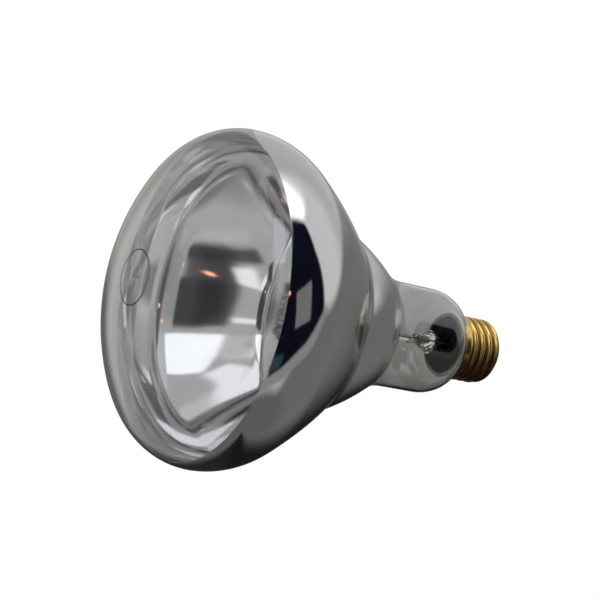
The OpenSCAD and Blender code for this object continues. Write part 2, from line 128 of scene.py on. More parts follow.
THREAD_R = 13.1
THREAD_DEPTH = 0.8
THREAD_PITCH = 3.629
THREAD_TURNS = 4
THREAD_FADE = 0.4
COLLAR_R = 13.3
COLLAR_LENGTH = 3.1
SHELL_WALL = 0.3
MOUTH_GAP = 0.8
LIP_LENGTH = 1.5
LIP_TURN = 1.6
MOUTH_Z = GLASS_STEP_Z + MOUTH_GAP
THREAD_Z = MOUTH_Z + COLLAR_LENGTH
THREAD_END_Z = THREAD_Z + THREAD_TURNS * THREAD_PITCH
LIP_END_Z = THREAD_END_Z + LIP_LENGTH


# ---------------------------------------------------------------- node trees written as expressions

class Flow:
    """A socket of a node tree. Arithmetic on it adds Math nodes to the tree."""

    def __init__(self, tree, socket):
        self.tree = tree
        self.socket = socket

    def math(self, operation, *others, clamp=False):
        node = self.tree.nodes.new("ShaderNodeMath")
        node.operation = operation
        node.use_clamp = clamp
        for slot, value in zip(node.inputs, (self, *others)):
            plug(self.tree, slot, value)
        return Flow(self.tree, node.outputs[0])

    def __add__(self, other):
        return self.math("ADD", other)

    __radd__ = __add__

    def __mul__(self, other):
        return self.math("MULTIPLY", other)

    __rmul__ = __mul__

    def __sub__(self, other):
        return self.math("SUBTRACT", other)

    def __rsub__(self, other):
        return (self * -1) + other

    def __truediv__(self, other):
        return self.math("DIVIDE", other)

    def __pow__(self, other):
        return self.math("POWER", other)

    def __neg__(self):
        return self * -1

    def step(self, low, high):
        """0 below low, 1 above high and smooth between; high may be the lower of the two."""
        node = self.tree.nodes.new("ShaderNodeMapRange")
        node.interpolation_type = "SMOOTHSTEP"
        plug(self.tree, node.inputs["Value"], self)
        node.inputs["From Min"].default_value = min(low, high)
        node.inputs["From Max"].default_value = max(low, high)
        node.inputs["To Min"].default_value = 0 if low < high else 1
        node.inputs["To Max"].default_value = 1 if low < high else 0
        return Flow(self.tree, node.outputs["Result"])


def plug(tree, slot, value):
    if isinstance(value, Flow):
        tree.links.new(value.socket, slot)
    elif hasattr(slot.default_value, "__len__") and not isinstance(value, (tuple, list)):
        slot.default_value = [value] * 3 + [1] * (len(slot.default_value) - 3)
    elif hasattr(slot.default_value, "__len__") and len(value) < len(slot.default_value):
        slot.default_value = (*value, 1)
    else:
        slot.default_value = value


class Recipe:
    """Any node from its type, settings and inputs, on one tree."""

    def __init__(self, tree):
        self.tree = tree

    def node(self, kind, settings=None, stops=None, **inputs):
        made = self.tree.nodes.new(kind)
        for name, value in (settings or {}).items():
            setattr(made, name, value)
        if stops:
            ramp = made.color_ramp
            while len(ramp.elements) > len(stops):
                ramp.elements.remove(ramp.elements[-1])
            while len(ramp.elements) < len(stops):
                ramp.elements.new(1)
            for element, (place, colour) in zip(ramp.elements, stops):
                element.position = place
                element.color = (*colour, 1)
        for name, value in inputs.items():
            key = int(name[1:]) if name[0] == "_" and name[1:].isdigit() else name.replace("_", " ")
            plug(self.tree, made.inputs[key], value)
        return made

    def out(self, made, name=0):
        return Flow(self.tree, made.outputs[name])

    def mix(self, factor, first, second):
        """first where factor is 0, second where it is 1; both are colours."""
        made = self.node("ShaderNodeMix", {"data_type": "RGBA"}, _0=factor, _6=first, _7=second)
        return Flow(self.tree, made.outputs[2])

    def noise(self, vector, scale, detail=2.0, roughness=0.5):
        made = self.node("ShaderNodeTexNoise", Vector=vector, Scale=scale, Detail=detail, Roughness=roughness)
        return Flow(self.tree, made.outputs["Fac"])

    def bump(self, height, strength, distance):
        made = self.node("ShaderNodeBump", Height=height, Strength=strength, Distance=distance)
        return Flow(self.tree, made.outputs["Normal"])


class Finish(Recipe):
    """A material: its recipe, the place on the object in millimetres, and its surface."""

    def __init__(self, name):
        self.material = bpy.data.materials.new(name)
        self.material.use_nodes = True
        super().__init__(self.material.node_tree)
        self.tree.nodes.clear()
        self.output = self.node("ShaderNodeOutputMaterial")
        place = self.node("ShaderNodeTexCoord")
        self.place = Flow(self.tree, place.outputs["Object"])
        axes = self.node("ShaderNodeSeparateXYZ", Vector=self.place)
        self.x, self.y, self.z = (self.out(axes, i) / MM for i in range(3))
        self.radius = (self.x * self.x + self.y * self.y) ** 0.5

    def principled(self, **inputs):
        return self.out(self.node("ShaderNodeBsdfPrincipled", **inputs))

    def surface(self, shader):
        self.tree.links.new(shader.socket, self.output.inputs["Surface"])
        return self.material


# ---------------------------------------------------------------- lines and meshes

def arc(centre, r, start, end, steps):
    angles = [start + (end - start) * i / steps for i in range(steps + 1)]
    return [Vector((centre[0] + r * math.cos(a), centre[1] + r * math.sin(a))) for a in angles]


def bezier(points, steps):
    line = []
    for i in range(steps + 1):
        level = [Vector(p) for p in points]
        while len(level) > 1:
            level = [a.lerp(b, i / steps) for a, b in zip(level, level[1:])]
        line.append(level[0])
    return line


def joined(*lines):
    path = list(lines[0])
    for line in lines[1:]:
        path += list(line)[1:]
    return path


def heading(path, i):
    return (path[min(i + 1, len(path) - 1)] - path[max(i - 1, 0)]).normalized()


def moved_left(path, distance):
    moved = []
    for i, point in enumerate(path):
        along = heading(path, i)
        moved.append(point + distance * Vector((-along.y, along.x)))
    return moved


def as_piece(name, verts, faces, smooth=True, body="root"):
    mesh = bpy.data.meshes.new(name)
    mesh.from_pydata([Vector(v) * MM for v in verts], [], faces)
    bm = bmesh.new()
    bm.from_mesh(mesh)
    bmesh.ops.recalc_face_normals(bm, faces=bm.faces)
    bm.to_mesh(mesh)
    bm.free()
    if smooth:
        mesh.shade_smooth()
    piece = bpy.data.objects.new(name, mesh)
    scene.collection.objects.link(piece)
    return piece


def revolved(profile, segments=160):
    """Vertices and faces of a closed outline of (radius, z) turned round the axis; points on the axis become poles."""
    verts, rings, faces = [], [], []
    for r, z in profile:
        if r < 1e-6:
            rings.append([len(verts)] * segments)
            verts.append((0, 0, z))
        else:
            rings.append(list(range(len(verts), len(verts) + segments)))
            verts += [(r * math.cos(TURN * k / segments), r * math.sin(TURN * k / segments), z)
                      for k in range(segments)]
    for lower, upper in zip(rings, rings[1:] + rings[:1]):
        for k in range(segments):
            n = (k + 1) % segments
            face = list(dict.fromkeys((lower[k], lower[n], upper[n], upper[k])))
            if len(face) > 2:
                faces.append(face)
    return verts, faces


def tube(path, diameter, sides=16, side=None):
    """Vertices and faces of a round wire along a path."""
    side = side or Vector((0, 1, 0))
    verts, faces = [], []
    for i, point in enumerate(path):
        along = heading(path, i)
        u = along.cross(side).normalized()
        v = u.cross(along)
        for k in range(sides):
            a = TURN * k / sides
            verts.append(point + diameter / 2 * (math.cos(a) * u + math.sin(a) * v))
    for i in range(len(path) - 1):
        for k in range(sides):
            n = (k + 1) % sides
            faces.append((i * sides + k, i * sides + n, (i + 1) * sides + n, (i + 1) * sides + k))
    faces.append(tuple(range(sides)))
    faces.append(tuple(range((len(path) - 1) * sides, len(path) * sides)))
    return verts, faces


def together(*shapes):
    verts, faces = [], []
    for more_verts, more_faces in shapes:
        faces += [tuple(i + len(verts) for i in face) for face in more_faces]
        verts += list(more_verts)
    return verts, faces


def moved(shape, matrix):
    verts, faces = shape
    return [matrix @ Vector(v) for v in verts], faces


def torus(ring_r, wire_r, segments=40, sides=12):
    return revolved([(ring_r + wire_r * math.cos(TURN * k / sides), wire_r * math.sin(TURN * k / sides))
                     for k in range(sides)], segments)


TURNED = Matrix.Rotation(STEM_ANGLE, 4, "Z")


def dress(name, shape, finish, slot, *nodes, sharp=None):
    """A piece of the bulb that stands for CAD nodes and takes its finish."""
    piece = as_piece(name, *shape)
    return settle(piece, finish, slot, *nodes, sharp=sharp)


def settle(piece, finish, slot, *nodes, sharp=None):
    if sharp:
        piece.data.shade_smooth()
        piece.data.set_sharp_from_angle(angle=math.radians(sharp))
    piece.data.materials.clear()
    piece.data.materials.append(finish)
    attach(piece, "root")
    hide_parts(*nodes)
    return piece


# ---------------------------------------------------------------- outline of the glass

def reflector_point(z):
    return Vector((2 * math.sqrt(FOCAL_LENGTH * (VERTEX_Z - z)), z))


WAIST_R = reflector_point(WAIST_Z).x
BELLY_CENTRE = (WAIST_R - BELLY_R * math.cos(BELLY_SLOPE), WAIST_Z - BELLY_R * math.sin(BELLY_SLOPE))


def belly_point(z):
    return Vector((BELLY_CENTRE[0] + math.sqrt(BELLY_R ** 2 - (z - BELLY_CENTRE[1]) ** 2), z))


BELLY_END_R = belly_point(BELLY_END_Z).x


def neck_point(z):
    return Vector((NECK_R + (BELLY_END_R - NECK_R) * ((NECK_Z - z) / NECK_DRAW_LENGTH) ** NECK_CURVE, z))


def between(start, end, steps):
    return [start + (end - start) * i / steps for i in range(steps + 1)]


QUARTER = math.pi / 2
face_line = arc((0, FACE_R), FACE_R, -QUARTER, FACE_ANGLE - QUARTER, 26)
face_line[0].x = 0
shoulder = (BULB_R - FRONT_SHOULDER_R, WIDEST_Z)
clear_shoulder = arc(shoulder, FRONT_SHOULDER_R, FACE_ANGLE - QUARTER, MIRROR_EDGE - QUARTER, 10)
mirror_shoulder = arc(shoulder, FRONT_SHOULDER_R, MIRROR_EDGE - QUARTER, 0, 10)
rear_shoulder = arc((BULB_R - REAR_SHOULDER_R, WIDEST_Z), REAR_SHOULDER_R, 0, REFLECTOR_SLOPE, 14)
reflector_end = WAIST_Z - WAIST_ROUND
reflector_line = [reflector_point(z) for z in between(JOIN_Z, reflector_end, 16)]
waist_line = bezier([reflector_point(reflector_end), reflector_point(WAIST_Z), belly_point(WAIST_Z + WAIST_ROUND)], 10)
belly_line = [belly_point(z) for z in between(WAIST_Z + WAIST_ROUND, BELLY_END_Z - WAIST_ROUND, 12)]
neck_waist_line = bezier([belly_point(BELLY_END_Z - WAIST_ROUND), belly_point(BELLY_END_Z),
                          neck_point(BELLY_END_Z + WAIST_ROUND)], 10)
neck_draw_line = [neck_point(z) for z in between(BELLY_END_Z + WAIST_ROUND, NECK_Z, 12)]
NECK_MOUTH_R = SEAL_R + SEAL_TUCK_R
neck_end_line = [Vector((NECK_MOUTH_R + (NECK_R - NECK_MOUTH_R) * math.cos(a), NECK_END_Z + NECK_END_LENGTH * math.sin(a)))
                 for a in between(0, QUARTER, 18)]
tuck_line = arc((NECK_MOUTH_R, GLASS_STEP_Z + SEAL_TUCK_R), SEAL_TUCK_R, -QUARTER, -2 * QUARTER, 8)

front_part = joined(face_line, clear_shoulder)
coated_part = joined(mirror_shoulder, rear_shoulder, reflector_line, waist_line, belly_line, neck_waist_line)
neck_part = joined(neck_draw_line, [neck_draw_line[-1]] + neck_end_line, tuck_line, [tuck_line[-1], Vector((SEAL_R, SEAL_END_Z))])
outer_line = joined(front_part, coated_part, neck_part)
inner_line = moved_left(outer_line, GLASS_WALL)
inner_line[0] = Vector((0, GLASS_WALL))
first_coated = len(front_part) - 1
last_coated = first_coated + len(coated_part) - 1


# ---------------------------------------------------------------- finishes

def bulb_glass():
    """Clear soda glass with a faint grey tint, and the printed ring on the middle of the dome."""
    f = Finish("clear blown glass")
    ring_r, ring_w = 10.2, 0.26
    aside, along = f.x + 1.8, f.y - 0.9
    from_middle = (aside * aside + along * along) ** 0.5
    across = ((from_middle - ring_r).math("ABSOLUTE")).step(ring_w, ring_w * 0.4)
    ring = across * f.z.step(6, 4)
    glass = f.principled(Base_Color=(0.945, 0.95, 0.942), Roughness=0.0, IOR=1.5, Transmission_Weight=1.0)
    ink = f.principled(Base_Color=(0.03, 0.03, 0.035), Roughness=0.5)
    mixed = f.node("ShaderNodeMixShader", _0=ring * 0.85, _1=glass, _2=ink)
    return f.surface(f.out(mixed))


def stem_glass():
    f = Finish("lead glass of the stem")
    glass = f.principled(Base_Color=(0.9, 0.93, 0.91), Roughness=0.02, IOR=1.55, Transmission_Weight=1.0)
    return f.surface(glass)


def mirror_film():
    """Vapour-deposited metal seen through the glass: bright, with a soft grain."""
    f = Finish("mirror film")
    cloud = f.noise(f.place, 60, detail=3)
    grain = f.noise(f.place, 900, detail=2)
    colour = f.mix(cloud, (0.68, 0.668, 0.675), (0.75, 0.74, 0.748))
    return f.surface(f.principled(Base_Color=colour, Metallic=1.0, Roughness=0.05 + cloud * 0.03 + grain * 0.01))


def dark_metal():
    f = Finish("dark shield metal")
    cloud = f.noise(f.place, 300)
    return f.surface(f.principled(Base_Color=f.mix(cloud, (0.008, 0.007, 0.008), (0.02, 0.018, 0.018)),
                                  Roughness=0.6 + cloud * 0.2, Specular_IOR_Level=0.08))


def wire_metal(name, low, high, roughness):
    f = Finish(name)
    cloud = f.noise(f.place, 400)
    return f.surface(f.principled(Base_Color=f.mix(cloud, low, high), Metallic=1.0,
                                  Roughness=roughness + cloud * 0.15))


def brass():
    """Bright brass of the shell, with painted shade darkening the grooves and a brown-black painted shade down one
    side.
    """
    f = Finish("brass of the screw shell")
    cloud = f.noise(f.place, 120, detail=4)
    streak = f.noise(f.place, 700, detail=3)
    # groove is 1 in the thread's grooves: there it mixes in a dark brown painted shade and makes the brass rougher
    groove = f.radius.step(THREAD_R - 0.1, THREAD_R - THREAD_DEPTH)
    gold = f.mix(cloud, (0.82, 0.53, 0.12), (0.93, 0.7, 0.24))
    # painted shade: the brass turns brown-black towards +x, the lower side in the camera's view, with a patchy noise
    # edge
    painted_side_shade = (f.x * 0.09 + cloud * 0.8 + 0.02).step(0.1, 0.9)
    painted_shade_brass = f.mix(painted_side_shade * 0.95, f.mix(groove * 0.9, gold, (0.24, 0.09, 0.015)), (0.045, 0.015, 0.004))
    rough = 0.15 + streak * 0.12 + groove * 0.1
    return f.surface(f.principled(Base_Color=painted_shade_brass, Metallic=1.0, Roughness=rough,
                                  Normal=f.bump(streak, 0.08, 0.0002)))


def cement_paste():
    f = Finish("basing cement")
    grain = f.noise(f.place, 1500, detail=4)
    return f.surface(f.principled(Base_Color=f.mix(grain, (0.02, 0.017, 0.015), (0.07, 0.06, 0.05)), Roughness=0.85,
                                  Normal=f.bump(grain, 0.5, 0.0003)))


def black_glass():
    f = Finish("black glass of the insulator")
    flow = f.noise(f.place, 90)
    return f.surface(f.principled(Base_Color=f.mix(flow, (0.008, 0.008, 0.01), (0.02, 0.02, 0.024)),
                                  Roughness=0.08 + flow * 0.1))


# ---------------------------------------------------------------- pieces

def glass_bulb(finish):
    profile = outer_line + inner_line[::-1]
    return dress("blown_glass", revolved(profile, 180), finish, "bulb_glass", "glass_bulb", sharp=50)


def mirror_coating(finish):
    """The film lies a hair inside the glass, so that the two surfaces stay apart."""
    hair, thickness = 0.03, 0.09
    back = moved_left(inner_line, hair)[first_coated:last_coated + 1]
    front = moved_left(inner_line, hair + thickness)[first_coated:last_coated + 1]
    return dress("mirror_film", revolved(back + front[::-1], 180), finish, "mirror", "mirror_coating", sharp=50)


def flare_and_tube():
    flare_r = SEAL_BORE_R - STEM_R
    foot = [Vector((STEM_R, z)) for z in between(PINCH_Z, FLARE_Z, 6)]
    trumpet = [Vector((SEAL_BORE_R - flare_r * math.cos(a), FLARE_Z + FLARE_LENGTH * math.sin(a)))
               for a in between(0, QUARTER, 16)]
    outside = joined(foot, trumpet)
    inside = [Vector((min(p.x, SEAL_BORE_R), p.y)) for p in moved_left(outside, STEM_WALL)]
    return revolved(outside + inside[::-1], 72)


def press(width, thickness, low, high, waist=1.0):
    """Flat pinch of the stem, a rounded bar that blends up into the round tube."""
    sides, levels = 40, 10
    verts, faces = [], []
    for i in range(levels + 1):
        t = i / levels
        z = low + (high - low) * t
        to_round = max(0.0, (z - PRESS_Z) / PINCH_LENGTH) ** 1.3 if z > PRESS_Z else 0.0
        half_w = (width / 2) * (1 - to_round) + STEM_R * to_round
        half_t = (thickness / 2) * (1 - to_round) + STEM_R * to_round
        power = 2 / (3.2 - 1.2 * to_round)
        for k in range(sides):
            a = TURN * k / sides
            c, s = math.cos(a), math.sin(a)
            verts.append((half_w * math.copysign(abs(c) ** power, c), half_t * math.copysign(abs(s) ** power, s), z))
    for i in range(levels):
        for k in range(sides):
            n = (k + 1) % sides
            faces.append((i * sides + k, i * sides + n, (i + 1) * sides + n, (i + 1) * sides + k))
    faces.append(tuple(range(sides)))
    faces.append(tuple(range(levels * sides, (levels + 1) * sides)))
    return verts, faces


def glass_stem(finish):
    tip = EXHAUST_R
    exhaust = revolved([(EXHAUST_R, PINCH_Z), (EXHAUST_R, EXHAUST_END_Z), (EXHAUST_R / 2, EXHAUST_END_Z + tip),
                        (0, EXHAUST_END_Z + tip), (0, EXHAUST_END_Z), (EXHAUST_BORE_R, EXHAUST_END_Z - 1),
                        (EXHAUST_BORE_R, PINCH_Z)], 40)
    button = [Vector((BUTTON_R * math.sin(a), BUTTON_Z - BUTTON_R * math.cos(a)))
              for a in between(0, math.pi - math.asin(ARBOR_R / BUTTON_R), 16)]
    button[0].x = 0
    arbor = revolved(button + [Vector((ARBOR_R, STEM_TIP_Z + 0.2)), Vector((0, STEM_TIP_Z + 0.2))], 40)
    pinch = press(PRESS_W, PRESS_T, STEM_TIP_Z, PINCH_Z + 0.3)
    shape = moved(together(flare_and_tube(), pinch, exhaust, arbor), TURNED)
    return dress("stem", shape, finish, "stem_glass", "glass_stem", sharp=40)


def heat_shield(finish):
    z = FLARE_Z - SHIELD_T
    rim = 0.12
    profile = [(STEM_R, z), (SHIELD_R - rim, z), (SHIELD_R, z + rim), (SHIELD_R, FLARE_Z - rim),
               (SHIELD_R - rim, FLARE_Z), (STEM_R, FLARE_Z)]
    return dress("shield_disc", revolved(profile, 120), finish, "shield_metal", "heat_shield", sharp=40)


def coil_end(side):
    a = QUARTER - FILAMENT_SPAN / 2
    return Vector((side * FILAMENT_ARC_R * math.cos(a), FILAMENT_ARC_R * math.sin(a), FOCUS_Z))


def inner_lead(side, finish):
    loop_r = COIL_D / 2 + COIL_GAP
    end = coil_end(side)
    top = end + Vector((0, 0, loop_r + CLAMP_WALL / 2))
    tip = Vector((side * LEAD_X, 0, STEM_TIP_Z))
    reach = Vector((0, 0, LEAD_REACH))
    run = bezier([tip, tip - reach, top + reach, top], 36)
    wire = tube([Vector((side * LEAD_X, 0, WELD_Z))] + run, INNER_LEAD_D)
    half = CLAMP_LENGTH / 2
    r = loop_r + CLAMP_WALL
    clamp = revolved([(loop_r, -half), (r - 0.1, -half), (r, 0.1 - half), (r, half - 0.1), (r - 0.1, half), (loop_r, half)], 40)
    angle = side * (QUARTER - FILAMENT_SPAN / 2)
    pose = Matrix.Translation(end) @ Matrix.Rotation(angle, 4, "Z") @ Matrix.Rotation(QUARTER, 4, "X")
    name = "a" if side > 0 else "b"
    shape = moved(together(wire, moved(clamp, pose)), TURNED)
    return dress(f"lead_{name}", shape, finish, "lead_metal", f"inner_lead_{name}", sharp=40)


# ---------------------------------------------------------------- Geometry Nodes

class GeometryRecipe(Recipe):
    """A Geometry Nodes tree with named inputs, which ends in Realize Instances and Set Material."""

    def __init__(self, name, **inputs):
        tree = bpy.data.node_groups.new(name, "GeometryNodeTree")
        super().__init__(tree)
        tree.interface.new_socket("Geometry", in_out="INPUT", socket_type="NodeSocketGeometry")
        tree.interface.new_socket("Geometry", in_out="OUTPUT", socket_type="NodeSocketGeometry")
        self.given = dict(inputs)
        for label, value in inputs.items():
            kind = "NodeSocketInt" if isinstance(value, int) else "NodeSocketFloat"
            tree.interface.new_socket(label, in_out="INPUT", socket_type=kind)
        self.entry = tree.nodes.new("NodeGroupInput")
        self.exit = tree.nodes.new("NodeGroupOutput")

    def given_as(self, label):
        return Flow(self.tree, self.entry.outputs[label])

    def finish(self, geometry, finish):
        whole = self.out(self.node("GeometryNodeRealizeInstances", Geometry=geometry))
        dressed = self.out(self.node("GeometryNodeSetMaterial", Geometry=whole, Material=finish))
        self.tree.links.new(dressed.socket, self.exit.inputs["Geometry"])

    def applied_to(self, piece):
        """Runs the tree on a piece and keeps the result as the piece's own plain mesh."""
        modifier = piece.modifiers.new("shape", "NODES")
        modifier.node_group = self.tree
        for socket in self.tree.interface.items_tree:
            if getattr(socket, "in_out", None) == "INPUT" and socket.name in self.given:
                modifier[socket.identifier] = self.given[socket.name]
        bpy.context.view_layer.update()
        result = bpy.data.meshes.new_from_object(piece.evaluated_get(bpy.context.evaluated_depsgraph_get()))
        piece.modifiers.remove(modifier)
        piece.data = result
        return piece


def filament(finish):
    """Tungsten coil, a fine helix wound round a level arc at the reflector's focus."""
    turns = round(FILAMENT_ARC_R * FILAMENT_SPAN / COIL_PITCH)
    tree = GeometryRecipe("coil", Points=turns * 24, Turns=turns, Arc_radius=FILAMENT_ARC_R * MM,
                          Span=FILAMENT_SPAN, Coil_radius=(COIL_D - TUNGSTEN_D) / 2 * MM,
                          Wire_radius=TUNGSTEN_D / 2 * MM, Height=FOCUS_Z * MM,
                          Start=QUARTER - FILAMENT_SPAN / 2 + STEM_ANGLE)
    count = tree.given_as("Points")
    line = tree.out(tree.node("GeometryNodeMeshLine", Count=count))
    along = tree.out(tree.node("GeometryNodeInputIndex")) / (count - 1)
    angle = tree.given_as("Start") + along * tree.given_as("Span")
    wind = along * tree.given_as("Turns") * TURN
    reach = tree.given_as("Arc_radius") + tree.given_as("Coil_radius") * wind.math("COSINE")
    lift = tree.given_as("Height") + tree.given_as("Coil_radius") * wind.math("SINE")
    place = tree.node("ShaderNodeCombineXYZ", X=reach * angle.math("COSINE"), Y=reach * angle.math("SINE"), Z=lift)
    bent = tree.out(tree.node("GeometryNodeSetPosition", Geometry=line, Position=tree.out(place)))
    curve = tree.out(tree.node("GeometryNodeMeshToCurve", Mesh=bent))
    section = tree.out(tree.node("GeometryNodeCurvePrimitiveCircle", Resolution=8, Radius=tree.given_as("Wire_radius")))
    wire = tree.out(tree.node("GeometryNodeCurveToMesh", {}, Curve=curve, Profile_Curve=section, Fill_Caps=True))
    tree.finish(wire, finish)
    piece = tree.applied_to(as_piece("coiled_filament", [(0, 0, 0)], []))
    piece.data.shade_smooth()
    return settle(piece, finish, "tungsten", "filament")


def support_wires(finish):
    """The three hooks that hold the coil: one hook, placed round the button by the tree."""
    loop_r = COIL_D / 2 + COIL_GAP + SUPPORT_D / 2
    start = Vector((BUTTON_R - SUPPORT_ROOT, 0, BUTTON_Z))
    foot = Vector((BUTTON_R + SUPPORT_STUB, 0, BUTTON_Z))
    bend = Vector((SUPPORT_BEND, 0, 0))
    top = Vector((FILAMENT_ARC_R, 0, FOCUS_Z + loop_r))
    run = bezier([foot, foot + bend, top + Vector((0, 0, SUPPORT_REACH)), top], 28)
    loop = moved(torus(loop_r, SUPPORT_D / 2), Matrix.Translation((FILAMENT_ARC_R, 0, FOCUS_Z)) @ Matrix.Rotation(QUARTER, 4, "X"))
    hook = as_piece("supports", *together(tube([start] + run, SUPPORT_D, 12), loop))
    tree = GeometryRecipe("hooks round the button", Hooks=3, Step=FILAMENT_SPAN / 4,
                          First=QUARTER - FILAMENT_SPAN / 4 + STEM_ANGLE)
    points = tree.out(tree.node("GeometryNodePoints", Count=tree.given_as("Hooks")))
    angle = tree.given_as("First") + tree.out(tree.node("GeometryNodeInputIndex")) * tree.given_as("Step")
    turn = tree.out(tree.node("ShaderNodeCombineXYZ", Z=angle))
    source = tree.out(tree.entry, "Geometry")
    placed = tree.out(tree.node("GeometryNodeInstanceOnPoints", Points=points, Instance=source, Rotation=turn))
    tree.finish(placed, finish)
    return settle(tree.applied_to(hook), finish, "support_metal", "support_wire_1", "support_wire_2", "support_wire_3")


def screw_shell(finish):
    """A plain drawn shell, into which the tree rolls the thread as a die does."""
    ring = [(COLLAR_R, z) for z in between(MOUTH_Z + 0.08, THREAD_Z - 0.35, 6)]
    outside = ([(COLLAR_R - 0.08, MOUTH_Z)] + ring + [(THREAD_R, THREAD_Z)]
               + [(THREAD_R, z) for z in between(THREAD_Z, THREAD_END_Z, 110)[1:]]
               + [(THREAD_R - 0.25, THREAD_END_Z + 0.12)]
               + [(THREAD_R - 0.25 - (LIP_TURN - 0.25) * t, THREAD_END_Z + 0.12 + (LIP_LENGTH - 0.12) * t)
                  for t in between(0, 1, 6)[1:]])
    line = [Vector(p) for p in outside]
    inside = [Vector((max(p.x, 1), p.y)) for p in moved_left(line, SHELL_WALL)]
    piece = as_piece("rolled_shell", *revolved(line + inside[::-1], 216))
    tree = GeometryRecipe("rolled thread", Depth=THREAD_DEPTH * MM, Pitch=THREAD_PITCH * MM, From=THREAD_Z * MM,
                          To=THREAD_END_Z * MM, Fade=THREAD_FADE * THREAD_PITCH * MM)
    place = tree.out(tree.node("GeometryNodeInputPosition"))
    axes = tree.node("ShaderNodeSeparateXYZ", Vector=place)
    x, y, z = (tree.out(axes, i) for i in range(3))
    angle = y.math("ARCTAN2", x)
    low, high, fade = tree.given_as("From"), tree.given_as("To"), tree.given_as("Fade")
    wave = ((z - low) / tree.given_as("Pitch") * TURN - angle).math("COSINE") * 0.5 + 0.5
    groove = ((z - low) / fade).math("MINIMUM", 1).math("MAXIMUM", 0)
    crest = ((high - z) / fade).math("MINIMUM", 1).math("MAXIMUM", 0)
    pressed = tree.given_as("Depth") * ((1 - wave) * groove + wave * (1 - crest))
    radius = (x * x + y * y) ** 0.5
    inward = tree.out(tree.node("ShaderNodeCombineXYZ", X=x * pressed / radius * -1, Y=y * pressed / radius * -1))
    rolled = tree.node("GeometryNodeSetPosition", Geometry=tree.out(tree.entry, "Geometry"), Offset=inward)
    tree.finish(tree.out(rolled), finish)
    return settle(tree.applied_to(piece), finish, "shell_brass", "screw_shell", sharp=50)


# ---------------------------------------------------------------- camera, floor and studio

def photo_camera():
    """The photograph's view: from below the face, 57 degrees off the bulb's axis."""
    focal, distance = 1714.78, 0.652103
    tilt, roll = math.radians(56.698), math.radians(11.42)
    aim = (305.12, 316.679)
    ray = Vector(((aim[0] - 300) / focal, (aim[1] - 300) / focal, 1)).normalized()
    right = (Vector((1, 0, 0)) - Vector((1, 0, 0)).dot(ray) * ray).normalized()
    to_camera = Matrix((right, ray.cross(right), ray)).transposed()
    c, s = math.cos(roll), math.sin(roll)
    from_frame = Matrix(((-s, -c * math.cos(tilt), c * math.sin(tilt)),
                         (c, -s * math.cos(tilt), s * math.sin(tilt)),
                         (0, math.sin(tilt), math.cos(tilt))))
    turn = to_camera @ from_frame
    flip = Matrix(((1, 0, 0), (0, -1, 0), (0, 0, -1)))
    camera = bpy.data.objects.new("camera", bpy.data.cameras.new("camera"))
    camera.data.sensor_width = 36
    camera.data.lens = focal * 36 / 600
    camera.data.clip_start = 0.01
    camera.data.clip_end = 20
    place = Vector((0, 0, 0.075)) - distance * (from_frame.transposed() @ Vector((0, 0, 1)))
    camera.matrix_world = Matrix.Translation(place) @ (turn.transposed() @ flip).to_4x4()
    scene.collection.objects.link(camera)
    scene.camera = camera
    return camera


def studio_floor():
    mesh = bpy.data.meshes.new("floor")
    half, z = 6.0, -0.62
    mesh.from_pydata([(-half, -half, z), (half, -half, z), (half, half, z), (-half, half, z)], [], [(0, 1, 2, 3)])
    floor = bpy.data.objects.new("floor", mesh)
    scene.collection.objects.link(floor)
    f = Finish("pale floor")
    floor.data.materials.append(f.surface(f.principled(Base_Color=(0.86, 0.86, 0.86), Roughness=0.9)))
    floor.visible_glossy = False
    floor.visible_transmission = False


